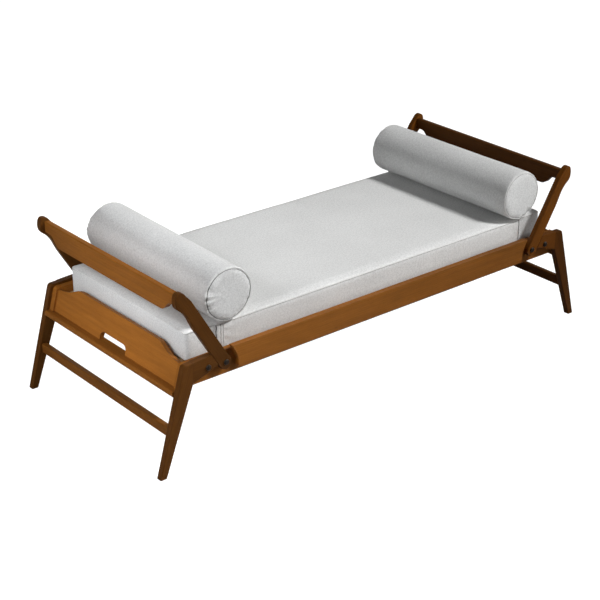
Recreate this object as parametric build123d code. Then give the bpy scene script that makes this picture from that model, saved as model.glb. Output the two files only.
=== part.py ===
from build123d import *
import math
import os

os.makedirs("parts", exist_ok=True)

# Driving dimensions, millimetres.  X runs along the bed, Y across it, Z is up.
overall_length = 1900.0        # over the outer corners of the feet
overall_width = 788.0          # over the outer faces of the legs
leg_thickness = 23.0           # legs, leg brackets and outer rails share one layer
inner_rail_thickness = 22.0
rail_height = 80.0
outer_rail_top = 375.0
rail_step = 17.0               # the inner rail sits this much lower than the outer rail

leg_splay = 100.0              # how far the foot stands out beyond the top of the leg
leg_top_drop = 10.0            # top of the leg, below the top of the outer rail
leg_foot_width = 24.0
leg_top_width = 34.0           # leg width at the joint with its bracket
leg_corner_radius = 14.0
bracket_root_lift = 2.0        # underside of the bracket at the leg, above the outer rail's underside
bracket_root_rise = 1.0        # the bracket top rises this much from the leg corner to the joint

pivot_inset = 159.0            # pivot axis in from the top outer corner of the leg
pivot_drop = 45.0              # pivot axis, below the top of the outer rail
arm_lean = 31.0                # degrees from upright when the armrest lies on its stop
arm_outer_half = 25.0          # middle of the pivot to the arm's outer edge
arm_inner_half = 19.5          # and to the edge that faces the mattress
arm_foot_drop = 2.0            # the straight edges run on this far below the pivot
knob_reach = 151.0             # tip of the knob down to where the outer edge turns straight
arm_length = 328.0             # pivot to the tip of the knob
leg_bolt_offset = 68.5
leg_bolt_lift = 3.5

crossboard_thickness = 20.0
crossboard_setback = 36.2      # middle of the board's end, down the arm from the tip of the knob
crossboard_across = 4.9        # and out from the middle of the arm
crossboard_height = 72.0
crossboard_end_height = 37.0   # what is left of the height over the finger arches
crossboard_arch_start = 86.0      # arch begins this far in from the arm
crossboard_arch_end = 25.0

end_board_thickness = 16.0
end_board_rise = 21.0          # middle of the end board, above the top of the leg
end_board_scoop = 20.0         # drop from the middle to halfway down the scooped shoulder
end_board_drop = 34.0          # drop from the middle to the side edges
end_board_setback = 19.5       # outer face, in from the outer edge of the leg
hand_slot_width = 146.0
hand_slot_height = 31.0
hand_slot_radius = 19.0

ledge_thickness = 20.0
ledge_width = 47.0
ledge_nose_radius = 8.0
ledge_back_radius = 12.0
ledge_proud = 4.0              # the ledge nose stands this far beyond the leg edge

stretcher_thickness = 20.0
stretcher_height = 34.0
stretcher_bottom = 126.0

cleat_width = 22.0
cleat_height = 25.0
slat_thickness = 14.0
slat_width = 62.0
slat_pitch = 118.0
mattress_thickness = 110.0
mattress_notch_depth = 10.0
bolster_radius = 88.0
bolster_left_inset = 48.0      # bolster axis in from the pivot axis, at the bolster's front end
bolster_right_inset = 24.0
bolster_shift = 5.0            # both bolsters lie a little toward the front
bolster_left_turn = 1.3        # degrees: the back ends lie a little nearer the middle of the bed
bolster_right_turn = 0.7

bolt_radius = 4.0
bolt_head_radius = 9.5
bolt_head_height = 5.5
bolt_head_rim = 1.2            # height of the straight rim under the rounding
insert_radius = 6.5
dowel_radius = 4.0
screw_radius = 2.2
screw_head_radius = 4.2
edge_radius = 3.0
rail_edge_radius = 2.0
rail_gap = 29.5                # outer rail end to the foot of the armrest arm
rail_tip_overhang = 22.0       # the top corner of the rail end reaches this far into the gap

# Named clearances.
running_clearance = 0.08       # radial, armrest bore on its bolt
fixed_clearance = 0.04         # radial, glued dowels, inserts and screws
stop_clearance = 0.4           # arm edge to the cut end of the bracket
head_clearance = 0.2           # under the head of the pivot bolt
washer_thickness = 1.0
side_clearance = 0.1           # washer to armrest arm
mattress_side_clearance = 3.0
mattress_end_clearance = 2.0
soft_clearance = 0.3           # soft pieces above what carries them
slat_end_clearance = 1.0

# Derived positions.
half_length = overall_length / 2.0
face_y = overall_width / 2.0
layer_y = face_y - leg_thickness
inner_y = layer_y - inner_rail_thickness
leg_top_height = outer_rail_top - leg_top_drop
pivot_height = outer_rail_top - pivot_drop
leg_bolt_height = pivot_height + leg_bolt_lift
leg_top_x = half_length - leg_splay
splay_slope = leg_splay / leg_top_height
joint_x = leg_top_x - leg_top_width
pivot_x = leg_top_x - pivot_inset
leg_bolt_x = pivot_x + leg_bolt_offset
outer_rail_bottom = outer_rail_top - rail_height
bracket_root_height = outer_rail_bottom + bracket_root_lift
inner_rail_top = outer_rail_top - rail_step
inner_rail_bottom = inner_rail_top - rail_height
inner_rail_setback = 13.0
ledge_top = inner_rail_bottom
ledge_bottom = ledge_top - ledge_thickness
washer_y = layer_y + washer_thickness
arm_y = washer_y + side_clearance
arm_bore_radius = bolt_radius + running_clearance
lean = math.radians(arm_lean)
arm_straight = arm_length - knob_reach
end_board_top = leg_top_height + end_board_rise
end_board_side_height = end_board_top - end_board_drop
stretcher_middle_z = stretcher_bottom + stretcher_height / 2.0


def leg_outer_x(z):
    return half_length - splay_slope * z


def leg_inner_x(z):
    slope = (half_length - leg_foot_width - joint_x) / bracket_root_height
    return half_length - leg_foot_width - slope * z


def arm_point(along, across):
    """Point of the leaning arm: along it from the pivot, and across it, outward."""
    x = pivot_x + along * math.sin(lean) + across * math.cos(lean)
    z = pivot_height + along * math.cos(lean) - across * math.sin(lean)
    return (x, z)


def arm_direction(along, across):
    dx = along * math.sin(lean) + across * math.cos(lean)
    dz = along * math.cos(lean) - across * math.sin(lean)
    return (dx, dz)


def board_across(face, y_low, y_high):
    """Extrude an outline drawn in X and Z between two Y positions."""
    return extrude(Plane.XZ.offset(-y_high) * face, amount=y_high - y_low)


def board_along(face, x_low, x_high):
    """Extrude an outline drawn in Y and Z between two X positions."""
    return extrude(Plane.YZ.offset(x_low) * face, amount=x_high - x_low)


def pin_y(x, z, y_low, y_high, radius):
    """Round bar along Y."""
    place = Location((x, (y_low + y_high) / 2.0, z), (90, 0, 0))
    return place * Cylinder(radius, y_high - y_low)


def block(x_low, x_high, y_low, y_high, z_low, z_high):
    centre = ((x_low + x_high) / 2.0, (y_low + y_high) / 2.0, (z_low + z_high) / 2.0)
    return Location(centre) * Box(x_high - x_low, y_high - y_low, z_high - z_low)


def outline(points):
    return make_face(Polyline(*points, close=True))


def to_left(shape):
    return mirror(shape, about=Plane.YZ)


def to_front(shape):
    return mirror(shape, about=Plane.XZ)


def four_corners(shape):
    """The right back piece and its three mirror images."""
    return [shape, to_left(shape), to_front(shape), to_left(to_front(shape))]


def two_ends(shape):
    return [shape, to_left(shape)]


def save(name, shapes):
    pieces = shapes if isinstance(shapes, list) else [shapes]
    solids = []
    for piece in pieces:
        solids.extend(piece.solids())
    result = solids[0] if len(solids) == 1 else Compound(children=solids)
    export_step(result, "parts/" + name + ".step")


def long_edges(part, direction):
    return part.edges().filter_by(direction)


# Bolts, inserts and washers, drawn for the right back corner.
def dome_bolt(x, z, head_y, tip_y):
    """Bolt along Y with a low rounded head whose underside is at head_y."""
    head = Cylinder(bolt_head_radius, bolt_head_height)
    head = fillet(head.edges().group_by(Axis.Z)[-1], bolt_head_height - bolt_head_rim)
    middle = head_y + bolt_head_height / 2.0
    head = Location((x, middle, z), (-90, 0, 0)) * head
    shank = pin_y(x, z, tip_y, head_y, bolt_radius)
    return head + shank


insert_tip_y = inner_y + 3.0
bolt_tip_y = insert_tip_y + 1.0
pivot_bolt = dome_bolt(pivot_x, pivot_height, face_y + head_clearance, bolt_tip_y)
leg_bolt = dome_bolt(leg_bolt_x, leg_bolt_height, face_y, bolt_tip_y)


def insert_at(x, z):
    outer = pin_y(x, z, insert_tip_y, layer_y, insert_radius - fixed_clearance)
    return outer - pin_y(x, z, insert_tip_y - 1, layer_y + 1, bolt_radius + fixed_clearance)


def insert_bore(x, z):
    return pin_y(x, z, insert_tip_y, layer_y + 1.0, insert_radius)


pivot_washer = pin_y(pivot_x, pivot_height, layer_y, washer_y, 11.0)
pivot_washer = pivot_washer - pin_y(pivot_x, pivot_height, layer_y - 1, washer_y + 1, arm_bore_radius)

# Dowels, one list of (x, z) seats for each joint.
crossboard_mid_x, board_mid_z = arm_point(arm_length - crossboard_setback, crossboard_across)
crossboard_inner_x = crossboard_mid_x - crossboard_thickness / 2.0
crossboard_outer_x = crossboard_mid_x + crossboard_thickness / 2.0
crossboard_top = board_mid_z + crossboard_end_height / 2.0
crossboard_bottom = crossboard_top - crossboard_height
crossboard_grip_height = crossboard_top - crossboard_end_height
crossboard_seats = [(crossboard_mid_x, board_mid_z - 9.0), (crossboard_mid_x, board_mid_z + 9.0)]

stretcher_outer_x = leg_outer_x(stretcher_middle_z) - 11.0
stretcher_inner_x = stretcher_outer_x - stretcher_thickness
stretcher_mid_x = (stretcher_outer_x + stretcher_inner_x) / 2.0
stretcher_seats = [
    (stretcher_mid_x + 1.5, stretcher_middle_z - 8.5),
    (stretcher_mid_x - 1.5, stretcher_middle_z + 8.5),
]

ledge_mid_z = (ledge_top + ledge_bottom) / 2.0
ledge_outer_x = leg_outer_x(ledge_mid_z) + ledge_proud
ledge_inner_x = ledge_outer_x - ledge_width
ledge_seats = [(ledge_outer_x - 34.0, ledge_mid_z), (ledge_outer_x - 14.0, ledge_mid_z)]

end_tilt = math.atan(splay_slope)


def end_board_outer_x(z):
    return leg_outer_x(z) - end_board_setback


def end_board_inner_x(z):
    return end_board_outer_x(z) - end_board_thickness / math.cos(end_tilt)


end_board_seats = []
for seat_z in (ledge_top + 24.0, ledge_top + 56.0):
    seat_x = (end_board_outer_x(seat_z) + end_board_inner_x(seat_z)) / 2.0
    end_board_seats.append((seat_x, seat_z))

dowel_reach = 15.0
stretcher_dowels = [pin_y(x, z, layer_y - 20.0, layer_y + dowel_reach, dowel_radius) for x, z in stretcher_seats]
ledge_dowels = [pin_y(x, z, layer_y - 20.0, layer_y + dowel_reach, dowel_radius) for x, z in ledge_seats]
end_board_dowels = [pin_y(x, z, inner_y - 16.0, inner_y + 14.0, dowel_radius) for x, z in end_board_seats]
crossboard_dowels = [pin_y(x, z, arm_y - 20.0, arm_y + dowel_reach, dowel_radius) for x, z in crossboard_seats]


def dowel_bores(seats, y_low, y_high):
    bores = [pin_y(x, z, y_low, y_high, dowel_radius + fixed_clearance) for x, z in seats]
    return bores


stretcher_bores = dowel_bores(stretcher_seats, layer_y - 20.5, layer_y + dowel_reach + 0.5)
ledge_bores = dowel_bores(ledge_seats, layer_y - 20.5, layer_y + dowel_reach + 0.5)
end_board_bores = dowel_bores(end_board_seats, inner_y - 16.5, inner_y + 14.5)
crossboard_bores = dowel_bores(crossboard_seats, arm_y - 20.5, arm_y + dowel_reach + 0.5)

# Leg: one tapered board, splayed along the bed, square across it.
leg_top_at_joint = leg_top_height + bracket_root_rise
leg_face = outline(
    [
        (joint_x, leg_top_at_joint),
        (leg_top_x, leg_top_height),
        (half_length, 0.0),
        (half_length - leg_foot_width, 0.0),
        (joint_x, bracket_root_height),
    ]
)
corner = leg_face.vertices().sort_by_distance(Vector(leg_top_x, leg_top_height, 0))[0]
leg_face = fillet(corner, leg_corner_radius)
leg = board_across(leg_face, layer_y, face_y)
leg = fillet(long_edges(leg, GeomType.LINE).filter_by(lambda e: e.length > 250.0), edge_radius)
leg = chamfer(leg.faces().sort_by(Axis.Z)[0].edges(), 1.5)
for bore in stretcher_bores + ledge_bores:
    leg = leg - bore
corner_names = ["right_back", "left_back", "right_front", "left_front"]
for name, piece in zip(corner_names, four_corners(leg)):
    save("leg_" + name, piece)

# Leg bracket: grows from the leg toward the bed and ends in a slanted cut, the armrest stop.
stop_across = arm_outer_half + stop_clearance
tip_low = arm_point(13.0, stop_across)
tip_high = arm_point(62.0, stop_across)
bracket_face = outline(
    [
        (joint_x, bracket_root_height),
        (joint_x, leg_top_at_joint),
        tip_high,
        tip_low,
    ]
)
bracket = board_across(bracket_face, layer_y, face_y)
face_edges = bracket.faces().sort_by(Axis.Y)[-1].edges().filter_by(lambda e: e.length > 75.0)
bracket = fillet(face_edges, rail_edge_radius)
bracket = bracket - pin_y(leg_bolt_x, leg_bolt_height, layer_y - 1, face_y + 1, bolt_radius + fixed_clearance)
for name, piece in zip(corner_names, four_corners(bracket)):
    save("leg_bracket_" + name, piece)

# Screws that tie the rail layers, and the cleats, together.
rail_screw_z = (outer_rail_bottom + inner_rail_top) / 2.0
rail_screw_xs = [(-2 + i) * (pivot_x - 110.0) / 2.0 for i in range(5)]
cleat_top = inner_rail_top - 27.0 - slat_thickness
cleat_bottom = cleat_top - cleat_height
cleat_inner_y = inner_y - cleat_width
cleat_end_x = end_board_inner_x(cleat_top) - 12.0
cleat_screw_z = (cleat_top + cleat_bottom) / 2.0 - 2.0
cleat_screw_xs = [(-2.5 + i) * cleat_end_x / 3.0 for i in range(6)]


def wood_screw(x, z, head_y, reach, grow=0.0):
    head = pin_y(x, z, head_y, head_y + 2.5, screw_head_radius + grow)
    shank = pin_y(x, z, head_y, head_y + reach + grow * 5.0, screw_radius + grow)
    return head + shank


# Inner rail: runs the full length, its ends cut parallel to the legs.
def inner_end_x(z):
    return leg_outer_x(z) - inner_rail_setback


end_top = inner_end_x(inner_rail_top)
end_low = inner_end_x(inner_rail_bottom)
inner_face = outline(
    [
        (-end_low, inner_rail_bottom),
        (end_low, inner_rail_bottom),
        (end_top, inner_rail_top),
        (-end_top, inner_rail_top),
    ]
)
tops = inner_face.vertices().filter_by(lambda v: v.Y > inner_rail_top - 1.0)
inner_face = fillet(tops, leg_corner_radius)
inner_rail = board_across(inner_face, inner_y, layer_y)
inner_rail = inner_rail - insert_bore(pivot_x, pivot_height) - insert_bore(-pivot_x, pivot_height)
inner_rail = inner_rail - insert_bore(leg_bolt_x, leg_bolt_height) - insert_bore(-leg_bolt_x, leg_bolt_height)
for bore in end_board_bores:
    inner_rail = inner_rail - bore - to_left(bore)
for x in rail_screw_xs:
    inner_rail = inner_rail - wood_screw(x, rail_screw_z, inner_y, 34.0, fixed_clearance)
for x in cleat_screw_xs:
    inner_rail = inner_rail - wood_screw(x, cleat_screw_z, cleat_inner_y, 35.0, fixed_clearance)
save("rail_inner_back", inner_rail)
save("rail_inner_front", to_front(inner_rail))

# Outer rail: fills the layer of the legs between the two armrests.
rail_waist_x = pivot_x - arm_inner_half - rail_gap
rail_tip_x = rail_waist_x + rail_tip_overhang
low_corner = 8.0


def outer_end(side):
    top = (side * rail_tip_x, outer_rail_top)
    middle = (side * (rail_tip_x - 15.0), outer_rail_top - 29.0)
    waist = (side * rail_waist_x, outer_rail_bottom + 30.0)
    bottom = (side * rail_waist_x, outer_rail_bottom + low_corner)
    foot = (side * (rail_waist_x - low_corner), outer_rail_bottom)
    quarter = low_corner * (1.0 - math.sqrt(0.5))
    knee = (side * (rail_waist_x - quarter), outer_rail_bottom + quarter)
    return [ThreePointArc(top, middle, waist), Line(waist, bottom), ThreePointArc(bottom, knee, foot)]


right_end = outer_end(1)
left_end = outer_end(-1)
top_line = Line((-rail_tip_x, outer_rail_top), (rail_tip_x, outer_rail_top))
low_x = rail_waist_x - low_corner
low_line = Line((-low_x, outer_rail_bottom), (low_x, outer_rail_bottom))
outer_face = make_face([top_line, low_line] + right_end + left_end)
outer_rail = board_across(outer_face, layer_y, face_y)
outer_rail = fillet(outer_rail.edges().filter_by(lambda e: e.length > 800.0), rail_edge_radius)
for x in rail_screw_xs:
    outer_rail = outer_rail - wood_screw(x, rail_screw_z, inner_y, 34.0, fixed_clearance)
save("rail_outer_back", outer_rail)
save("rail_outer_front", to_front(outer_rail))

rail_screws = [wood_screw(x, rail_screw_z, inner_y, 34.0) for x in rail_screw_xs]
save("rail_screws", rail_screws + [to_front(s) for s in rail_screws])

# Cleats carry the slats along the inner faces of the inner rails.
cleat = block(-cleat_end_x, cleat_end_x, cleat_inner_y, inner_y, cleat_bottom, cleat_top)
for x in cleat_screw_xs:
    cleat = cleat - wood_screw(x, cleat_screw_z, cleat_inner_y, 35.0, fixed_clearance)
save("cleat_back", cleat)
save("cleat_front", to_front(cleat))
cleat_screws = [wood_screw(x, cleat_screw_z, cleat_inner_y, 35.0) for x in cleat_screw_xs]
save("cleat_screws", cleat_screws + [to_front(s) for s in cleat_screws])

# Slats lie across the cleats.
slat_span = cleat_end_x * 2.0 - slat_width - 20.0
slat_count = int(slat_span / slat_pitch) + 1
slat_step = slat_span / (slat_count - 1)
slat_half = inner_y - slat_end_clearance
slats = []
for i in range(slat_count):
    x = -slat_span / 2.0 + i * slat_step
    slat = block(x - slat_width / 2.0, x + slat_width / 2.0, -slat_half, slat_half, cleat_top, cleat_top + slat_thickness)
    slats.append(chamfer(slat.edges().filter_by(Axis.Y), 1.5))
save("slats", slats)

# Ledge: the flat rail between the legs that the end board stands on.
ledge = block(ledge_inner_x, ledge_outer_x, -layer_y, layer_y, ledge_bottom, ledge_top)
nose = ledge.edges().filter_by(Axis.Y).filter_by(lambda e: e.center().X > ledge_outer_x - 1.0)
ledge = fillet(nose, ledge_nose_radius)
heel = ledge.edges().filter_by(Axis.Y).sort_by_distance(Vector(ledge_inner_x, 0, ledge_bottom))[0]
ledge = fillet(heel, ledge_back_radius)
for bore in ledge_bores:
    ledge = ledge - bore - to_front(bore)
for name, piece in zip(["right", "left"], two_ends(ledge)):
    save("ledge_" + name, piece)
save("ledge_dowels", [p for d in ledge_dowels for p in four_corners(d)])

# Stretcher between the legs of one end.
stretcher = block(
    stretcher_inner_x,
    stretcher_outer_x,
    -layer_y,
    layer_y,
    stretcher_bottom,
    stretcher_bottom + stretcher_height,
)
stretcher = fillet(stretcher.edges().filter_by(Axis.Y), 4.0)
for bore in stretcher_bores:
    stretcher = stretcher - bore - to_front(bore)
for name, piece in zip(["right", "left"], two_ends(stretcher)):
    save("stretcher_" + name, piece)
save("stretcher_dowels", [p for d in stretcher_dowels for p in four_corners(d)])

# End board: leans with the legs, raised in the middle, with a hand slot over the ledge.
end_plane = Plane(
    origin=(end_board_outer_x(ledge_top), 0, ledge_top),
    x_dir=(0, 1, 0),
    z_dir=(math.cos(end_tilt), 0, math.sin(end_tilt)),
)


def up_board(z):
    return (z - ledge_top) / math.cos(end_tilt)


rise_y = inner_y - 130.0
scoop_y = inner_y - 73.0


def board_shoulder(side):
    return Spline(
        [
            (side * rise_y, up_board(end_board_top)),
            (side * (rise_y + 21.0), up_board(end_board_top - 4.0)),
            (side * scoop_y, up_board(end_board_top - end_board_scoop)),
            (side * (inner_y - 24.0), up_board(end_board_side_height + 2.5)),
            (side * inner_y, up_board(end_board_side_height)),
        ],
        tangents=[(side, 0), (side, -0.08)],
    )


below = -12.0
board_lines = [board_shoulder(1), board_shoulder(-1)]
board_lines.append(Line((-rise_y, up_board(end_board_top)), (rise_y, up_board(end_board_top))))
board_lines.append(Line((inner_y, up_board(end_board_side_height)), (inner_y, below)))
board_lines.append(Line((-inner_y, up_board(end_board_side_height)), (-inner_y, below)))
board_lines.append(Line((-inner_y, below), (inner_y, below)))
end_face = make_face(board_lines)
slot_face = Pos(0, below / 2.0) * Rectangle(hand_slot_width, hand_slot_height * 2.0 - below)
slot_face = fillet(slot_face.vertices().group_by(Axis.Y)[-1], hand_slot_radius)
end_face = end_face - slot_face
end_board = extrude(end_plane * end_face, amount=-end_board_thickness)
under = block(half_length - 400, half_length, -face_y, face_y, ledge_top - 60.0, ledge_top)
end_board = end_board - under
for bore in end_board_bores:
    end_board = end_board - bore - to_front(bore)
for name, piece in zip(["right", "left"], two_ends(end_board)):
    save("end_board_" + name, piece)
save("end_board_dowels", [p for d in end_board_dowels for p in four_corners(d)])

# Armrest arm: straight leaning board with a scooped neck and a rounded knob.
knob_points = [
    arm_point(arm_straight, arm_outer_half),
    arm_point(arm_length - 88.0, arm_outer_half - 4.0),
    arm_point(arm_length - 63.0, arm_outer_half + 0.5),
    arm_point(arm_length - 41.0, arm_outer_half + 7.5),
    arm_point(arm_length - 13.0, arm_outer_half - 2.0),
    arm_point(arm_length, 4.0),
    arm_point(arm_length - 8.0, 10.5 - arm_inner_half),
    arm_point(arm_length - 29.0, 5.0 - arm_inner_half),
    arm_point(arm_length - 61.0, -arm_inner_half),
]
knob = Spline(knob_points, tangents=[arm_direction(1, 0), arm_direction(-1, 0)])
arm_foot_radius = (arm_outer_half + arm_inner_half) / 2.0
arm_foot_middle = (arm_outer_half - arm_inner_half) / 2.0
arm_foot = ThreePointArc(
    arm_point(-arm_foot_drop, -arm_inner_half),
    arm_point(-arm_foot_drop - arm_foot_radius, arm_foot_middle),
    arm_point(-arm_foot_drop, arm_outer_half),
)
outer_edge = Line(arm_point(-arm_foot_drop, arm_outer_half), arm_point(arm_straight, arm_outer_half))
inner_edge = Line(arm_point(arm_length - 61.0, -arm_inner_half), arm_point(-arm_foot_drop, -arm_inner_half))
arm_face = make_face([outer_edge, knob, inner_edge, arm_foot])
arm = board_across(arm_face, arm_y, face_y)
rim = arm.faces().sort_by(Axis.Y)
arm = fillet(rim[-1].edges() + rim[0].edges(), edge_radius)
arm = arm - pin_y(pivot_x, pivot_height, arm_y - 1, face_y + 1, arm_bore_radius)
for bore in crossboard_bores:
    arm = arm - bore
for name, piece in zip(corner_names, four_corners(arm)):
    save("arm_" + name, piece)

# Crossboard: upright board between the knobs, with a finger arch beside each arm.
arch_start_y = arm_y - crossboard_arch_start
arch_end_y = arm_y - crossboard_arch_end


def arch(side):
    curve = Spline(
        [
            (side * arch_start_y, crossboard_bottom),
            (side * (arch_start_y + arch_end_y) / 2.0, (crossboard_bottom + crossboard_grip_height) / 2.0),
            (side * arch_end_y, crossboard_grip_height),
        ],
        tangents=[(side, 0), (side, 0)],
    )
    flat = Line((side * arch_end_y, crossboard_grip_height), (side * arm_y, crossboard_grip_height))
    end = Line((side * arm_y, crossboard_grip_height), (side * arm_y, crossboard_top))
    return [curve, flat, end]


crossboard_lines = arch(1) + arch(-1)
crossboard_lines.append(Line((-arch_start_y, crossboard_bottom), (arch_start_y, crossboard_bottom)))
crossboard_lines.append(Line((-arm_y, crossboard_top), (arm_y, crossboard_top)))
crossboard_face = make_face(crossboard_lines)
crossboard = board_along(crossboard_face, crossboard_inner_x, crossboard_outer_x)
top_edges = crossboard.edges().filter_by(Axis.Y).filter_by(lambda e: e.center().Z > crossboard_top - 1.0)
crossboard = fillet(top_edges, edge_radius)
for bore in crossboard_bores:
    crossboard = crossboard - bore - to_front(bore)
for name, piece in zip(["right", "left"], two_ends(crossboard)):
    save("crossboard_" + name, piece)
end_dowels = crossboard_dowels + [to_front(d) for d in crossboard_dowels]
save("crossboard_dowels_right", end_dowels)
save("crossboard_dowels_left", [to_left(d) for d in end_dowels])

# Metal fittings.
save("pivot_bolts", four_corners(pivot_bolt))
save("leg_bolts", four_corners(leg_bolt))
save("pivot_washers", four_corners(pivot_washer))
inserts = [insert_at(pivot_x, pivot_height), insert_at(leg_bolt_x, leg_bolt_height)]
save("threaded_inserts", [p for piece in inserts for p in four_corners(piece)])

# Mattress: one pad, a little narrower at both ends beside the armrests.
slat_top = cleat_top + slat_thickness
mattress_bottom = slat_top + soft_clearance
mattress_top = slat_top + mattress_thickness
mattress_half_width = inner_y - mattress_side_clearance
mattress_end_x = end_board_inner_x(end_board_top) - mattress_end_clearance
notch_x = pivot_x - 4.0
notch_y = mattress_half_width - mattress_notch_depth
mattress_face = outline(
    [
        (-notch_x, -mattress_half_width),
        (notch_x, -mattress_half_width),
        (notch_x, -notch_y),
        (mattress_end_x, -notch_y),
        (mattress_end_x, notch_y),
        (notch_x, notch_y),
        (notch_x, mattress_half_width),
        (-notch_x, mattress_half_width),
        (-notch_x, notch_y),
        (-mattress_end_x, notch_y),
        (-mattress_end_x, -notch_y),
        (-notch_x, -notch_y),
    ]
)
mattress = extrude(Plane.XY.offset(mattress_bottom) * mattress_face, amount=mattress_top - mattress_bottom)
rims = mattress.edges().group_by(Axis.Z)
mattress = chamfer(rims[0] + rims[-1], 4.0)
save("mattress", mattress)

# Bolsters: round cushions lying across the mattress beside each armrest.
bolster_z = mattress_top + soft_clearance + bolster_radius
bolster_half = mattress_half_width - 2.0
bolster_front_y = -bolster_half - bolster_shift
bolster_back_y = bolster_half - bolster_shift
bolster_places = [
    ("left", bolster_left_inset - pivot_x, -bolster_left_turn),
    ("right", pivot_x - bolster_right_inset, bolster_right_turn),
]
for name, x, turn in bolster_places:
    bolster = pin_y(x, bolster_z, bolster_front_y, bolster_back_y, bolster_radius)
    bolster = fillet(bolster.edges().filter_by(GeomType.CIRCLE), 5.0)
    bolster = bolster.rotate(Axis((x, bolster_front_y, 0), (0, 0, 1)), turn)
    save("bolster_" + name, bolster)
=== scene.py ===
import math

import bmesh
import bpy
from mathutils import Matrix, Vector, noise
from mathutils.bvhtree import BVHTree


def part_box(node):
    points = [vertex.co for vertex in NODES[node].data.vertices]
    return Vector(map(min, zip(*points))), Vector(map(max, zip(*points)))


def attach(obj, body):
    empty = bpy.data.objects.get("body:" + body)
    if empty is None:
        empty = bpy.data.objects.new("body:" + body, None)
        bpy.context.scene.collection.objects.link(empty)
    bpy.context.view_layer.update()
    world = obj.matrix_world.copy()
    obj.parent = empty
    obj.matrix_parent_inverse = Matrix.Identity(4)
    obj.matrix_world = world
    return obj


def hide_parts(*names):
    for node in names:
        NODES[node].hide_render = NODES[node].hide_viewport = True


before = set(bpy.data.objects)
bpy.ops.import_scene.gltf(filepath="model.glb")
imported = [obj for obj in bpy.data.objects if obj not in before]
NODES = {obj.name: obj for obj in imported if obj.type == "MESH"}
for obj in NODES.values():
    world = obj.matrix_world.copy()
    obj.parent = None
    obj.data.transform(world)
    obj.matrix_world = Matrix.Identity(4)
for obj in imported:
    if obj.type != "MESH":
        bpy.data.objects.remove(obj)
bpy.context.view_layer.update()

scene = bpy.context.scene
scene.view_settings.view_transform = "Standard"
scene.view_settings.look = "None"

MM = 0.001

# the camera that fits the edges of the bed: place, direction, roll and lens
CAMERA_PLACE = (-3.1852, -3.7440, 2.5050)
CAMERA_FORWARD = (0.5789, 0.6954, -0.4259)
CAMERA_ROLL = math.radians(0.23)
CAMERA_LENS = 91.49


# ---------------------------------------------------------------- camera
def make_camera():
    data = bpy.data.cameras.new("camera")
    camera = bpy.data.objects.new("camera", data)
    scene.collection.objects.link(camera)
    forward = Vector(CAMERA_FORWARD).normalized()
    level = forward.cross(Vector((0, 0, 1))).normalized()
    tall = level.cross(forward)
    right = level * math.cos(CAMERA_ROLL) + tall * math.sin(CAMERA_ROLL)
    up = tall * math.cos(CAMERA_ROLL) - level * math.sin(CAMERA_ROLL)
    turn = Matrix((right, up, -forward)).transposed()
    camera.matrix_world = Matrix.Translation(CAMERA_PLACE) @ turn.to_4x4()
    data.sensor_width = 36.0
    data.lens = CAMERA_LENS
    data.clip_start = 0.05
    data.clip_end = 100.0
    data.dof.use_dof = False
    scene.camera = camera


# ---------------------------------------------------------------- mesh helpers
def add_mesh(name, verts, faces, smooth=True):
    mesh = bpy.data.meshes.new(name)
    mesh.from_pydata([tuple(v) for v in verts], [], faces)
    mesh.validate()
    mesh.update()
    if smooth:
        mesh.shade_smooth()
    obj = bpy.data.objects.new(name, mesh)
    scene.collection.objects.link(obj)
    return obj


def give(obj, material):
    obj.data.materials.clear()
    obj.data.materials.append(material)


def tube(points, radius, closed=False, sides=8):
    """Vertices and faces of a round tube along a list of points."""
    count = len(points)
    verts, faces = [], []
    up = None
    for i, p in enumerate(points):
        if closed:
            ahead, behind = points[(i + 1) % count], points[i - 1]
        else:
            ahead, behind = points[min(i + 1, count - 1)], points[max(i - 1, 0)]
        run = (Vector(ahead) - Vector(behind)).normalized()
        if up is None:
            up = run.orthogonal().normalized()
        up = (up - run * up.dot(run)).normalized()
        side = run.cross(up)
        for k in range(sides):
            a = 2 * math.pi * k / sides
            verts.append(Vector(p) + (up * math.cos(a) + side * math.sin(a)) * radius)
    for i in range(count if closed else count - 1):
        for k in range(sides):
            a, b = i * sides + k, i * sides + (k + 1) % sides
            j = (i + 1) % count
            c, d = j * sides + (k + 1) % sides, j * sides + k
            faces.append((a, b, c, d))
    if not closed:
        faces.append(tuple(range(sides - 1, -1, -1)))
        last = (count - 1) * sides
        faces.append(tuple(last + k for k in range(sides)))
    return verts, faces


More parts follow.
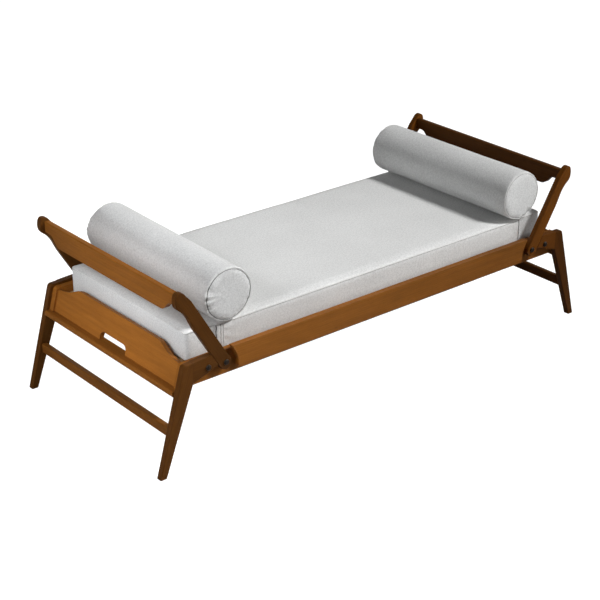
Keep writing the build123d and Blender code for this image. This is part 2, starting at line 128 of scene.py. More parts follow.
# ---------------------------------------------------------------- node helpers
class Nodes:
    def __init__(self, name):
        self.material = bpy.data.materials.new(name)
        self.material.use_nodes = True
        self.tree = self.material.node_tree
        self.tree.nodes.clear()
        self.out = self.tree.nodes.new("ShaderNodeOutputMaterial")
        self.shader = self.tree.nodes.new("ShaderNodeBsdfPrincipled")
        self.tree.links.new(self.shader.outputs[0], self.out.inputs[0])

    def add(self, kind, **props):
        node = self.tree.nodes.new(kind)
        for key, value in props.items():
            setattr(node, key, value)
        return node

    def put(self, socket, value):
        if isinstance(value, bpy.types.NodeSocket):
            self.tree.links.new(value, socket)
        elif value is not None:
            socket.default_value = value

    def math(self, operation, a, b=None):
        node = self.add("ShaderNodeMath", operation=operation)
        self.put(node.inputs[0], a)
        self.put(node.inputs[1], b)
        return node.outputs[0]

    def dot(self, a, b):
        node = self.add("ShaderNodeVectorMath", operation="DOT_PRODUCT")
        self.put(node.inputs[0], a)
        self.put(node.inputs[1], b)
        return node.outputs["Value"]

    def scaled(self, vector, scale):
        node = self.add("ShaderNodeVectorMath", operation="MULTIPLY")
        self.put(node.inputs[0], vector)
        self.put(node.inputs[1], scale)
        return node.outputs[0]

    def noise(self, vector, scale, detail=2.0, rough=0.5, distortion=0.0):
        node = self.add("ShaderNodeTexNoise")
        self.put(node.inputs["Vector"], vector)
        self.put(node.inputs["Scale"], scale)
        self.put(node.inputs["Detail"], detail)
        self.put(node.inputs["Roughness"], rough)
        self.put(node.inputs["Distortion"], distortion)
        return node.outputs["Fac"]

    def ramp(self, value, stops):
        node = self.add("ShaderNodeValToRGB")
        elements = node.color_ramp.elements
        while len(elements) < len(stops):
            elements.new(0.5)
        for element, (place, colour) in zip(elements, stops):
            element.position = place
            element.color = (*colour, 1.0) if len(colour) == 3 else colour
        self.put(node.inputs[0], value)
        return node.outputs[0]

    def span(self, value, low, high, to_low, to_high):
        node = self.add("ShaderNodeMapRange")
        for key, v in zip(range(5), (value, low, high, to_low, to_high)):
            self.put(node.inputs[key], v)
        return node.outputs[0]

    def mix(self, factor, a, b, blend="MIX"):
        node = self.add("ShaderNodeMix", data_type="RGBA", blend_type=blend)
        self.put(node.inputs[0], factor)
        self.put(node.inputs[6], a)
        self.put(node.inputs[7], b)
        return node.outputs[2]

    def place(self):
        return self.add("ShaderNodeTexCoord").outputs["Object"]

    def bump(self, height, strength, distance, normal=None):
        node = self.add("ShaderNodeBump")
        self.put(node.inputs["Height"], height)
        self.put(node.inputs["Strength"], strength)
        self.put(node.inputs["Distance"], distance)
        if normal is not None:
            self.put(node.inputs["Normal"], normal)
        return node.outputs[0]

    def finish(self, **sockets):
        for key, value in sockets.items():
            self.put(self.shader.inputs[key.replace("_", " ")], value)
        return self.material


# ---------------------------------------------------------------- wood
def wood(name, along, tone=1.0, seed=0.0, gloss=0.46, pale=False, warm=0.0, fade=0.0):
    """Oiled walnut with its grain along one direction."""
    n = Nodes(name)
    along = Vector(along).normalized()
    across = Vector((0, 1, 0)) if abs(along.y) < 0.5 else Vector((0, 0, 1))
    across = (across - along * across.dot(along)).normalized()
    third = along.cross(across)
    p = n.place()
    u, v, w = n.dot(p, tuple(along)), n.dot(p, tuple(across)), n.dot(p, tuple(third))
    shift = n.math("ADD", u, seed * 1.7)
    grain = n.add("ShaderNodeCombineXYZ")
    n.put(grain.inputs[0], shift)
    n.put(grain.inputs[1], n.math("ADD", v, seed * 0.31))
    n.put(grain.inputs[2], n.math("ADD", w, seed * 0.53))
    g = grain.outputs[0]
    wander = n.noise(n.scaled(g, (2.2, 9.0, 9.0)), 1.0, 2.0, 0.5)
    # growth rings about a heart line that lies off the board
    rv = n.math("ADD", n.math("ADD", v, 0.13 + 0.02 * seed), n.math("MULTIPLY", wander, 0.05))
    rw = n.math("ADD", w, 0.07)
    radius = n.math("SQRT", n.math("ADD", n.math("MULTIPLY", rv, rv), n.math("MULTIPLY", rw, rw)))
    rings = n.math("SINE", n.math("MULTIPLY", radius, 820.0))
    rings = n.span(rings, -1.0, 1.0, 0.0, 1.0)
    streak = n.noise(n.scaled(g, (3.0, 62.0, 62.0)), 1.0, 4.0, 0.6, 0.3)
    fine = n.noise(n.scaled(g, (14.0, 420.0, 420.0)), 1.0, 3.0, 0.65)
    cloud = n.noise(n.scaled(g, (5.0, 12.0, 12.0)), 1.0, 3.0, 0.55, 0.6)
    pore = n.noise(n.scaled(g, (40.0, 900.0, 900.0)), 1.0, 1.0, 0.5)
    pore = n.span(pore, 0.60, 0.74, 0.0, 1.0)
    value = n.math("MULTIPLY", streak, 0.46)
    value = n.math("ADD", value, n.math("MULTIPLY", rings, 0.06))
    value = n.math("ADD", value, n.math("MULTIPLY", fine, 0.17))
    value = n.math("ADD", value, n.math("MULTIPLY", cloud, 0.36))
    speckle = n.noise(n.scaled(g, (260.0, 420.0, 420.0)), 1.0, 2.0, 0.7)
    value = n.math("ADD", value, n.math("MULTIPLY", n.math("SUBTRACT", speckle, 0.5), 0.16))
    if pale:
        base = (0.50, 0.36, 0.21)
        stops = [(0.30, 0.72), (0.5, 1.0), (0.72, 1.22)]
        dark = (0.30, 0.19, 0.10, 1)
    else:
        base = (0.300 * tone, 0.108 * (1 - 0.14 * warm) * tone, 0.0175 * (1 - 0.55 * warm) * tone)
        stops = [(0.30, 0.70), (0.44, 0.90), (0.56, 1.06), (0.74, 1.34)]
        dark = (base[0] * 0.3, base[1] * 0.28, base[2] * 0.3, 1)
    colour = n.ramp(value, [(place, tuple(c * k for c in base)) for place, k in stops])
    colour = n.mix(n.math("MULTIPLY", pore, 0.30), colour, dark)
    # painted light and shade: with fade set, the board is painted lighter toward the -X end of its grain
    # and darker toward the +X end, for how the lamps fall along it
    if fade:
        level = n.span(u, -0.75, 0.75, 1.0 + fade * 0.25, 1.0 - fade)
        shade = n.add("ShaderNodeCombineXYZ")
        for i in range(3):
            n.put(shade.inputs[i], level)
        colour = n.mix(1.0, colour, shade.outputs[0], "MULTIPLY")
    # rubbed edges: the finish is thinner and a little darker in the corner line
    bevel = n.add("ShaderNodeBevel", samples=4)
    bevel.inputs["Radius"].default_value = 0.004
    flat = n.add("ShaderNodeNewGeometry")
    edge = n.math("SUBTRACT", 1.0, n.dot(bevel.outputs[0], flat.outputs["Normal"]))
    edge = n.span(edge, 0.01, 0.16, 0.0, 1.0)
    wear = n.noise(n.scaled(g, (18.0, 60.0, 60.0)), 1.0, 3.0, 0.6)
    edge = n.math("MULTIPLY", edge, n.span(wear, 0.3, 0.7, 0.25, 0.8))
    colour = n.mix(edge, colour, (base[0] * 0.45, base[1] * 0.42, base[2] * 0.45, 1))
    rough = n.math("ADD", n.math("MULTIPLY", streak, 0.16), gloss - 0.08)
    rough = n.math("ADD", rough, n.math("MULTIPLY", pore, 0.12))
    height = n.math("SUBTRACT", n.math("MULTIPLY", fine, 0.5), n.math("MULTIPLY", pore, 0.8))
    height = n.math("ADD", height, n.math("MULTIPLY", streak, 0.6))
    normal = n.bump(height, 0.22, 0.0006)
    material = n.finish(Base_Color=colour, Roughness=rough, Normal=normal)
    shader = n.shader
    shader.inputs["Specular IOR Level"].default_value = 0.08
    return material


# ---------------------------------------------------------------- cloth and metal
def melange(name, light, dark, seed=0.0):
    """Pale woven cloth with flecks of darker yarn."""
    n = Nodes(name)
    p = n.place()
    base = n.add("ShaderNodeVectorMath", operation="ADD")
    n.put(base.inputs[0], p)
    base.inputs[1].default_value = (seed, seed * 0.7, seed * 1.3)
    p = base.outputs[0]
    pitch = 2 * math.pi / 0.0016
    split = n.add("ShaderNodeSeparateXYZ")
    n.put(split.inputs[0], p)
    x, y, z = split.outputs
    geometry = n.add("ShaderNodeNewGeometry")
    local = n.add(
        "ShaderNodeVectorTransform", vector_type="NORMAL", convert_from="WORLD", convert_to="OBJECT"
    )
    n.put(local.inputs[0], geometry.outputs["Normal"])
    facing = n.add("ShaderNodeSeparateXYZ")
    n.put(facing.inputs[0], local.outputs[0])

    def weave(a, b):
        one = n.math("SINE", n.math("MULTIPLY", a, pitch))
        two = n.math("SINE", n.math("MULTIPLY", b, pitch))
        return n.math("MULTIPLY", one, two)

    weight = [n.math("POWER", n.math("ABSOLUTE", facing.outputs[i]), 3.0) for i in range(3)]
    cloth = n.math("MULTIPLY", weave(y, z), weight[0])
    cloth = n.math("ADD", cloth, n.math("MULTIPLY", weave(x, z), weight[1]))
    cloth = n.math("ADD", cloth, n.math("MULTIPLY", weave(x, y), weight[2]))
    fleck = n.noise(p, 520.0, 2.0, 0.7)
    slub = n.noise(p, 170.0, 2.0, 0.6)
    cloud = n.noise(p, 6.0, 2.0, 0.5)
    value = n.math("ADD", n.math("MULTIPLY", fleck, 0.55), n.math("MULTIPLY", slub, 0.35))
    value = n.math("ADD", value, n.math("MULTIPLY", cloud, 0.10))
    between = tuple(0.5 * (a + b) for a, b in zip(dark, light))
    colour = n.ramp(value, [(0.33, dark), (0.47, between), (0.60, light)])
    colour = n.mix(n.span(cloth, -1.0, 1.0, 0.0, 0.10), colour, (*dark, 1))
    height = n.math("ADD", n.math("MULTIPLY", cloth, 0.5), n.math("MULTIPLY", fleck, 0.8))
    normal = n.bump(height, 0.35, 0.0005)
    creases = n.noise(p, 14.0, 3.0, 0.5, 0.2)
    normal = n.bump(creases, 0.10, 0.006, normal)
    rough = n.span(fleck, 0.3, 0.7, 0.82, 0.97)
    material = n.finish(Base_Color=colour, Roughness=rough, Normal=normal)
    n.shader.inputs["Sheen Weight"].default_value = 0.18
    n.shader.inputs["Sheen Roughness"].default_value = 0.45
    n.shader.inputs["Specular IOR Level"].default_value = 0.22
    return material


def thread(name, colour):
    n = Nodes(name)
    p = n.place()
    twist = n.noise(p, 1800.0, 2.0, 0.6)
    shadow = tuple(c * 0.55 for c in colour) + (1,)
    shade = n.mix(n.span(twist, 0.35, 0.65, 0.0, 1.0), (*colour, 1), shadow)
    normal = n.bump(twist, 0.4, 0.0003)
    return n.finish(Base_Color=shade, Roughness=n.span(twist, 0.3, 0.7, 0.7, 0.9), Normal=normal)


def metal(name, colour, rough, brushed=0.25):
    n = Nodes(name)
    p = n.place()
    scratch = n.noise(n.scaled(p, (260.0, 90.0, 900.0)), 1.0, 3.0, 0.6)
    patch = n.noise(p, 60.0, 3.0, 0.6)
    dull = tuple(c * 0.6 for c in colour) + (1,)
    shade = n.mix(n.span(patch, 0.35, 0.7, 0.0, 1.0), (*colour, 1), dull)
    value = n.math("ADD", n.math("MULTIPLY", scratch, brushed), rough - brushed / 2)
    normal = n.bump(scratch, 0.12, 0.0003)
    n.shader.inputs["Metallic"].default_value = 1.0
    return n.finish(Base_Color=shade, Roughness=value, Normal=normal)


# ---------------------------------------------------------------- stuffed pieces
def evaluated_mesh(obj):
    graph = bpy.context.evaluated_depsgraph_get()
    graph.update()
    return bpy.data.meshes.new_from_object(obj.evaluated_get(graph), depsgraph=graph)


def apply_modifiers(obj):
    mesh = evaluated_mesh(obj)
    old = obj.data
    obj.modifiers.clear()
    obj.data = mesh
    bpy.data.meshes.remove(old)


def remesh(obj, voxel):
    modifier = obj.modifiers.new("remesh", "REMESH")
    modifier.mode = "VOXEL"
    modifier.voxel_size = voxel
    apply_modifiers(obj)


def inflate(obj, pressure, cap, frames=20, stiffness=15.0):
    """Blow the closed mesh up as cloth, and keep every point within cap of its start."""
    start = [v.co.copy() for v in obj.data.vertices]
    cloth = obj.modifiers.new("cloth", "CLOTH")
    s = cloth.settings
    s.quality = 5
    s.mass = 0.3
    s.tension_stiffness = s.compression_stiffness = stiffness
    s.shear_stiffness = 5.0
    s.bending_stiffness = 0.8
    s.use_pressure = True
    s.uniform_pressure_force = pressure
    s.effector_weights.gravity = 0.0
    cloth.point_cache.frame_start = 1
    cloth.point_cache.frame_end = frames
    for f in range(1, frames + 1):
        scene.frame_set(f)
    mesh = evaluated_mesh(obj)
    moved = [v.co.copy() for v in mesh.vertices]
    bpy.data.meshes.remove(mesh)
    obj.modifiers.clear()
    scene.frame_set(1)
    for v, a, b in zip(obj.data.vertices, start, moved):
        step = b - a
        size = step.length
        if size > 1e-9:
            v.co = a + step * (cap * math.tanh(size / cap) / size)
    obj.data.update()


def push(obj, amount):
    """Move every point along its normal by amount(point)."""
    normals = [v.normal.copy() for v in obj.data.vertices]
    for v, normal in zip(obj.data.vertices, normals):
        v.co = v.co + normal * amount(v.co)
    obj.data.update()


def subdivide(obj):
    modifier = obj.modifiers.new("subdivision", "SUBSURF")
    modifier.levels = modifier.render_levels = 1
    apply_modifiers(obj)


# ---------------------------------------------------------------- wooden pieces
def soften(obj, width):
    """Ease the sharp edges of a CAD piece."""
    flat = obj.modifiers.new("merge", "DECIMATE")
    flat.decimate_type = "DISSOLVE"
    flat.angle_limit = math.radians(0.6)
    bevel = obj.modifiers.new("ease", "BEVEL")
    bevel.width = width
    bevel.segments = 2
    bevel.limit_method = "ANGLE"
    bevel.angle_limit = math.radians(38)
    bevel.use_clamp_overlap = True
    bevel.harden_normals = False
    normals = obj.modifiers.new("normals", "WEIGHTED_NORMAL")
    normals.keep_sharp = True


LEAN = math.radians(31.0)
LEG_TILT = math.atan2(0.118, 0.330)
EASE = 1.6 * MM
SLAT_EASE = 1.0 * MM
# how light each kind of board is, at the left and at the right end of the bed; legs, leg brackets and
# arms are set darker than the rails.
# The split between the two ends is painted light and shade: the right-end crossboard, end board, ledge
# and stretcher are painted in shade at 0.34 of the left ones, the right leg is painted darker and the
# right arm lighter, for how the key lamp falls.
TONE_AND_PAINTED_SHADE = {
    "leg_bracket": (0.31, 0.34),
    "leg": (0.34, 0.21),
    "arm": (0.29, 0.43),
    "crossboard": (0.78, 0.78 * 0.34),
    "end_board": (1.08, 1.08 * 0.34),
    "ledge": (0.80, 0.80 * 0.34),
    "stretcher": (0.55, 0.55 * 0.34),
    "rail_inner": (0.88, 0.88),
    "rail_outer": (0.88, 0.88),
}
# the rails are painted lighter at the left end and darker toward the right end, standing in for how the
# light falls along them
RAIL_PAINTED_LIGHT_FADE = 0.36
RIGHT_WARMTH = 0.8


def grain_direction(name, kind, side):
    """The way the grain of one board runs."""
    if kind == "leg":
        return (side * math.sin(LEG_TILT), 0, -math.cos(LEG_TILT))
    if kind == "arm":
        return (side * math.sin(LEAN), 0, math.cos(LEAN))
    if kind in ("crossboard", "end_board", "ledge", "stretcher") or name == "slats":
        return (0, 1, 0)
    return (1, 0, 0)


def dress_frame():
    seed = 1
    for name, obj in sorted(NODES.items()):
        right = "right" in name
        side = 1.0 if right else -1.0
        if "_dowels" in name:
            give(obj, wood("wood_" + name, (0, 1, 0), seed=seed * 0.37, pale=True))
            continue
        if name in ("slats", "cleat_front", "cleat_back"):
            grain = grain_direction(name, None, side)
            give(obj, wood("wood_" + name, grain, seed=seed * 0.37, pale=True))
            soften(obj, SLAT_EASE)
            continue
        kind = next((k for k in TONE_AND_PAINTED_SHADE if name.startswith(k + "_")), None)
        if kind is None or name == "leg_bolts":
            continue
        # the right-end value holds the painted shade and painted light of that end
        tone = TONE_AND_PAINTED_SHADE[kind][1 if right else 0]
        warm = RIGHT_WARMTH if right else 0.0
        fade = RAIL_PAINTED_LIGHT_FADE if kind.startswith("rail") else 0.0
        along = grain_direction(name, kind, side)
        give(obj, wood("wood_" + name, along, tone, seed * 0.37, warm=warm, fade=fade))
        soften(obj, EASE)
        seed += 1


dress_frame()

STEEL = metal("zinc_steel", (0.55, 0.55, 0.56), 0.35)
BLACK_STEEL = metal("blackened_steel", (0.055, 0.045, 0.038), 0.34)
BRASS = metal("insert_brass", (0.62, 0.47, 0.22), 0.32)
for name in ("rail_screws", "cleat_screws", "pivot_washers"):
    give(NODES[name], STEEL)
give(NODES["threaded_inserts"], BRASS)
for name in ("pivot_bolts", "leg_bolts"):
    give(NODES[name], BLACK_STEEL)


# ---------------------------------------------------------------- pad
PAD_CLOTH = melange("pad_melange", (0.82, 0.823, 0.812), (0.52, 0.522, 0.515))
BOLSTER_CLOTH = melange("bolster_melange", (0.81, 0.813, 0.805), (0.51, 0.512, 0.507), 3.1)
PIPING_CLOTH = melange("piping_melange", (0.84, 0.838, 0.825), (0.66, 0.658, 0.645), 1.7)
DARK_THREAD = thread("dark_thread", (0.10, 0.095, 0.09))
GREY_THREAD = thread("grey_thread", (0.30, 0.295, 0.285))

PAD_LOW, PAD_HIGH = (Vector(c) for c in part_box("mattress"))
NOTCH_X = 0.687
NOTCH_DEPTH = 0.010
STRIP_WIDTH = 0.034
WRINKLE_PITCH = 0.034
WRINKLE_FADE = 0.022
WRINKLE_HEIGHT = 1.9


def pad_outline(inset, radius, steps=6):
    """Plan of the pad, counter-clockwise, with rounded outer corners."""
    end, half = PAD_HIGH.x - inset, PAD_HIGH.y - inset
    notch, inner = NOTCH_X - inset * 0.3, PAD_HIGH.y - NOTCH_DEPTH - inset
    quarter = [(end, inner, radius), (notch, inner, 0.0), (notch, half, radius * 0.5)]
    corners = list(quarter)
    corners += [(-x, y, r) for x, y, r in reversed(quarter)]
    corners += [(-x, -y, r) for x, y, r in quarter]
    corners += [(x, -y, r) for x, y, r in reversed(quarter)]
    points = []
    count = len(corners)
    for i, (x, y, r) in enumerate(corners):
        here = Vector((x, y, 0))
        if r == 0.0:
            points.append(here)
            continue
        before = Vector((*corners[i - 1][:2], 0))
        after = Vector((*corners[(i + 1) % count][:2], 0))
        a, b = (before - here).normalized(), (after - here).normalized()
        centre = here + (a + b) * r
        for k in range(steps + 1):
            t = k / steps * math.pi / 2
            points.append(centre - b * r * math.cos(t) - a * r * math.sin(t))
    return points


def spread(points, step):
    """The closed outline with points about one step apart."""
    result = []
    for i, a in enumerate(points):
        b = points[(i + 1) % len(points)]
        length = (b - a).length
        count = max(1, round(length / step))
        result.extend(a.lerp(b, k / count) for k in range(count))
    return result


def box_pad(name, outline, low, high, edge):
    """Closed slab over an outline, its rims rounded over."""
    rows = [(low, edge), (low + edge * 0.3, edge * 0.3), (low + edge, 0.0)]
    rows += [(high - edge, 0.0), (high - edge * 0.3, edge * 0.3), (high, edge)]
    centre = sum(outline, Vector()) / len(outline)
    verts, faces = [], []
    count = len(outline)
    for z, inset in rows:
        for i, p in enumerate(outline):
            run = (outline[(i + 1) % count] - outline[i - 1]).normalized()
            inward = Vector((-run.y, run.x, 0))
            q = p + inward * inset
            verts.append((q.x, q.y, z))
    for r in range(len(rows) - 1):
        for i in range(count):
            j = (i + 1) % count
            faces.append((r * count + i, r * count + j, (r + 1) * count + j, (r + 1) * count + i))
    faces.append(tuple(range(count - 1, -1, -1)))
    top = (len(rows) - 1) * count
    faces.append(tuple(top + i for i in range(count)))
    return add_mesh(name, verts, faces)


def pad_wrinkle(p):
    """Puckers beside the sewn corner strips, strongest on the front and the ends."""
    run = NOTCH_X - STRIP_WIDTH - abs(p.x)
    face = max(0.0, (abs(p.y) - PAD_HIGH.y + 0.03) / 0.03)
    if run < 0.0 or face <= 0.0:
        return 0.0
    fade = math.exp(-run / WRINKLE_FADE) * min(1.0, run / 0.004)
    drift = 5.0 * noise.noise(Vector((p.x * 9, p.y * 3, p.z * 7)))
    wave = math.sin(p.z * 2 * math.pi / WRINKLE_PITCH + drift)
    return wave * fade * min(1.0, face) * WRINKLE_HEIGHT


def make_pad():
    outline = pad_outline(5 * MM, 14 * MM)
    low, high = PAD_LOW.z + 2 * MM, PAD_HIGH.z - 7 * MM
    pad = box_pad("pad_cover", outline, low, high, 5 * MM)
    remesh(pad, (8) * MM)
    inflate(pad, 3.0, 7 * MM)
    push(pad, lambda p: (noise.noise(p * 5.0) * 1.2 + noise.noise(p * 17.0) * 0.5) * MM)
    for v in pad.data.vertices:
        sink = max(0.0, (v.co.y - PAD_HIGH.y + 0.06) / 0.06)
        if v.co.z > PAD_HIGH.z - 0.03:
            v.co.z -= sink * sink * 7 * MM
        v.co.z = min(max(v.co.z, PAD_LOW.z + 0.3 * MM), PAD_HIGH.z - 0.4 * MM)
    subdivide(pad)
    limit_x, limit_y = PAD_HIGH.x, PAD_HIGH.y + 1 * MM
    push(pad, lambda p: pad_wrinkle(p) * MM)
    for v in pad.data.vertices:
        v.co.x = min(max(v.co.x, -limit_x), limit_x)
        v.co.y = min(max(v.co.y, -limit_y), limit_y)
    pad.data.shade_smooth()
    give(pad, PAD_CLOTH)
    return pad


def tree_of(obj):
    mesh = bmesh.new()
    mesh.from_mesh(obj.data)
    tree = BVHTree.FromBMesh(mesh)
    mesh.free()
    return tree


pad = make_pad()
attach(pad, "frame")
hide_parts("mattress")
PAD_TREE = tree_of(pad)


def pad_welts():
    """Sewn welt where the top panel meets the border, and the stitch line under it."""
    raw = spread(pad_outline(1 * MM, 16 * MM), 6 * MM)
    loop, stitches = [], []
    for p in raw:
        guess = Vector((p.x, p.y, PAD_HIGH.z - 4.5 * MM))
        spot, normal, _, _ = PAD_TREE.find_nearest(guess)
        loop.append(spot + normal * 0.6 * MM)
        spot, normal, _, _ = PAD_TREE.find_nearest(guess - Vector((0, 0, 5.5 * MM)))
        stitches.append(spot + normal * 0.15 * MM)
    welt = add_mesh("pad_welt", *tube(loop, 1.7 * MM, closed=True))
    give(welt, PIPING_CLOTH)
    seam = add_mesh("pad_seam", *tube(stitches, 0.40 * MM, closed=True, sides=6))
    give(seam, GREY_THREAD)
    for piece in (welt, seam):
        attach(piece, "frame")


def corner_seams():
    """Upright seams of the corner strips beside each armrest, and a dark cord of painted shade on each
    notch edge.
    """
    count = 0
    # each seam: distance in from the notch, radius in mm, dark thread or piping, sway in mm
    # the first line is painted shade: a thick dark cord right on the notch edge, standing in for the
    # shadow line in the notch corner
    notch_shadow_cord = (-0.0005, 1.6, True, 1.2)
    left = (notch_shadow_cord, (0.022, 0.6, True, 0.3), (0.033, 1.2, False, 0.3))
    right = (notch_shadow_cord, (0.008, 1.0, False, 0.4))
    for side in (-1, 1):
        for front in (-1, 1):
            for inset, thick, dark, sway in left if side < 0 else right:
                line = []
                for k in range(15):
                    z = PAD_LOW.z + 12 * MM + k / 14 * (PAD_HIGH.z - PAD_LOW.z - 19 * MM)
                    x = side * (NOTCH_X - inset) + sway * MM * math.sin(k * 1.3 + side)
                    guess = Vector((x, front * PAD_HIGH.y, z))
                    spot, normal, _, _ = PAD_TREE.find_nearest(guess)
                    line.append(spot + normal * 0.2 * MM)
                count += 1
                seam = add_mesh("corner_seam_%02d" % count, *tube(line, thick * MM, sides=6))
                give(seam, DARK_THREAD if dark else PIPING_CLOTH)
                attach(seam, "frame")


pad_welts()
corner_seams()


# ---------------------------------------------------------------- bolsters
BOLSTER_TURN = {"left": math.radians(-1.3), "right": math.radians(0.7)}
BOLSTER_HALF = 0.344


def bolster_form(name, radius, half, corner):
    """Cylinder along Y about the origin, with rounded rims."""
    profile = [(0.0, half), (radius * 0.35, half), (radius * 0.7, half), (radius - corner, half)]
    for k in range(1, 5):
        a = k / 4 * math.pi / 2
        profile.append((radius - corner + corner * math.sin(a), half - corner + corner * math.cos(a)))
    rows = [(r, y) for r, y in profile] + [(r, -y) for r, y in reversed(profile)]
    sides = 64
    verts, faces = [], []
    for r, y in rows[1:-1]:
        for k in range(sides):
            a = 2 * math.pi * k / sides
            verts.append((r * math.cos(a), y, r * math.sin(a)))
    for i in range(len(rows) - 3):
        for k in range(sides):
            j = (k + 1) % sides
            faces.append((i * sides + k, (i + 1) * sides + k, (i + 1) * sides + j, i * sides + j))
    faces.append(tuple(range(sides)))
    last = (len(rows) - 3) * sides
    faces.append(tuple(last + k for k in range(sides - 1, -1, -1)))
    obj = add_mesh(name, verts, faces)
    fix = bmesh.new()
    fix.from_mesh(obj.data)
    bmesh.ops.recalc_face_normals(fix, faces=fix.faces)
    fix.to_mesh(obj.data)
    fix.free()
    return obj


def bolster_pucker(p, radius, half, seed):
    """Gathers running in from the rim of each end disc and along the tube beside it."""
    reach = math.hypot(p.x, p.z)
    angle = math.atan2(p.z, p.x)
    ring = Vector((math.cos(angle) * 5.5, math.sin(angle) * 5.5, seed * 3.7 + (1.0 if p.y > 0 else 0.0)))
    gather = noise.noise(ring) + 0.6 * noise.noise(ring * 2.3)
    # most of the gathers lie at one place on the rim
    middle = math.radians(172 if seed < 2 else -78)
    off = math.atan2(math.sin(angle - middle), math.cos(angle - middle))
    where = 0.25 + 1.1 * math.exp(-((off / 0.6) ** 2))
    if half - abs(p.y) < 0.006:
        return gather * where * 4.0 * math.exp(-max(0.0, radius - 0.004 - reach) / 0.020)
    return gather * where * 1.6 * math.exp(-(half - abs(p.y)) / 0.022)


def make_bolster(side):
    node = "bolster_" + side
    low, high = (Vector(c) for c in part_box(node))
    radius, half = (high.z - low.z) / 2, BOLSTER_HALF
    seed = 1.0 if side == "left" else 2.6
    obj = bolster_form(node + "_cover", radius + 0.5 * MM, half - 1 * MM, 4 * MM)
    remesh(obj, (5) * MM)
    inflate(obj, 4.0, 3 * MM)
    shift = Vector((3.1, 1.7, 0.4)) * seed

    def lumps(p):
        q = p + shift
        return (noise.noise(q * 7.0) + noise.noise(Vector((q.x * 22, q.y * 6, q.z * 22))) * 0.5) * MM

    push(obj, lumps)
    subdivide(obj)
    push(obj, lambda p: bolster_pucker(p, radius, half, seed) * MM)
    for v in obj.data.vertices:
        v.co.z = max(v.co.z, 0.2 * MM - radius)
    obj.data.shade_smooth()
    tree = tree_of(obj)
    pieces = [(obj, BOLSTER_CLOTH)]
    for end in (-1, 1):
        loop, stitches = [], []
        for k in range(120):
            a = 2 * math.pi * k / 120
            out = Vector((math.cos(a), 0, math.sin(a)))
            rim = out * (radius - 0.5 * MM) + Vector((0, end * (half - 1.5 * MM), 0))
            spot, normal, _, _ = tree.find_nearest(rim)
            loop.append(spot + normal * 0.5 * MM)
            rim = out * (radius - 4.5 * MM) + Vector((0, end * (half + 2.0 * MM), 0))
            spot, normal, _, _ = tree.find_nearest(rim)
            stitches.append(spot + normal * 0.1 * MM)
        for p in loop + stitches:
            p.z = max(p.z, 1.9 * MM - radius)
        tag = "front" if end < 0 else "back"
        welt = add_mesh(node + "_welt_" + tag, *tube(loop, 1.6 * MM, closed=True))
        pieces.append((welt, PIPING_CLOTH))
        bold = side == "left"
        thick = (0.85 if bold else 0.5) * MM
        seam = add_mesh(node + "_seam_" + tag, *tube(stitches, thick, closed=True, sides=6))
        pieces.append((seam, DARK_THREAD if bold else GREY_THREAD))
    place = Matrix.Translation((low + high) / 2) @ Matrix.Rotation(BOLSTER_TURN[side], 4, "Z")
    for piece, cloth in pieces:
        piece.data.transform(place)
        give(piece, cloth)
        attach(piece, node + "_body")
    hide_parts(node)


for side in ("left", "right"):
    make_bolster(side)


# ---------------------------------------------------------------- studio
def area_light(name, place, aim, size, power, colour=(1, 1, 1)):
    data = bpy.data.lights.new(name, "AREA")
    data.shape = "RECTANGLE"
    data.size, data.size_y = size
    data.energy = power
    data.color = colour
    lamp = bpy.data.objects.new(name, data)
    scene.collection.objects.link(lamp)
    lamp.location = place
    lamp.rotation_euler = (Vector(aim) - Vector(place)).to_track_quat("-Z", "Y").to_euler()
    return lamp


def key_lamp(name, place, aim, power, radius, cone):
    """Soft round lamp whose light keeps its strength along the whole bed."""
    data = bpy.data.lights.new(name, "SPOT")
    data.energy = power
    data.shadow_soft_size = radius
    data.spot_size = math.radians(cone)
    data.spot_blend = 1.0
    data.use_nodes = True
    tree = data.node_tree
    falloff = tree.nodes.new("ShaderNodeLightFalloff")
    falloff.inputs["Strength"].default_value = 1.0
    tree.links.new(falloff.outputs["Constant"], tree.nodes["Emission"].inputs["Strength"])
    lamp = bpy.data.objects.new(name, data)
    scene.collection.objects.link(lamp)
    lamp.location = place
    lamp.rotation_euler = (Vector(aim) - Vector(place)).to_track_quat("-Z", "Y").to_euler()
    return lamp


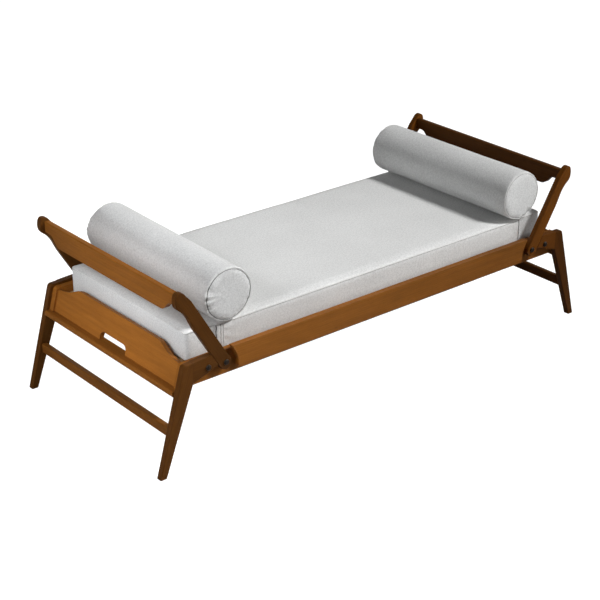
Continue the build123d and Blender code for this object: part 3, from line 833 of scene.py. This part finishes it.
def make_studio():
    """White sweep that glows by itself, a soft key lamp from the front right and four fills."""
    n = Nodes("studio_floor")
    grit = n.noise(n.place(), 40.0, 2.0, 0.5)
    shade = n.mix(grit, (0.17, 0.17, 0.17, 1), (0.20, 0.20, 0.20, 1))
    n.finish(Base_Color=shade, Roughness=0.9)
    n.shader.inputs["Specular IOR Level"].default_value = 0.0
    n.shader.inputs["Emission Color"].default_value = (1, 1, 1, 1)
    n.shader.inputs["Emission Strength"].default_value = 0.99
    reach, wall = 30.0, 24.0
    corners = [(-reach, -reach, 0), (reach, -reach, 0), (reach, reach, 0), (-reach, reach, 0)]
    corners += [(x, y, wall) for x, y, _ in corners]
    walls = [(i, (i + 1) % 4, (i + 1) % 4 + 4, i + 4) for i in range(4)]
    floor = add_mesh("studio_floor", corners, [(0, 1, 2, 3)] + walls, False)
    give(floor, n.material)
    # the glow of the sweep does not fall on the bed
    only = bpy.data.collections.new("sweep_only")
    only.objects.link(floor)
    floor.light_linking.receiver_collection = only
    world = bpy.data.worlds.new("studio")
    scene.world = world
    world.use_nodes = True
    sky = world.node_tree.nodes["Background"]
    sky.inputs[0].default_value = (1, 1, 1, 1)
    sky.inputs[1].default_value = 0.012
    key_lamp("key_lamp", (1.69, -2.05, 3.0), (-0.55, 0, 0.4), power=43, radius=0.36, cone=74)
    # the end toward the viewer, over and under the crossboard
    cool = (0.96, 0.975, 1.0)
    high_left = area_light("left_box", (-2.05, -0.35, 1.25), (-0.90, 0, 0.38), (0.9, 0.9), 3.0, cool)
    high_left.data.spread = math.radians(56)
    area_light("low_left_box", (-2.1, -0.5, 0.40), (-0.8, 0, 0.42), (1.4, 0.6), 2.7, cool)
    # the front of the right half
    area_light("front_box", (2.9, -2.9, 1.15), (0.5, -0.4, 0.35), (1.6, 1.2), 26)
    # the side away from the viewer, with hardly any light on the top of the pad
    area_light("back_box", (0.3, 3.6, 0.62), (0.0, 0.4, 0.36), (2.6, 0.5), 20)


make_camera()
make_studio()
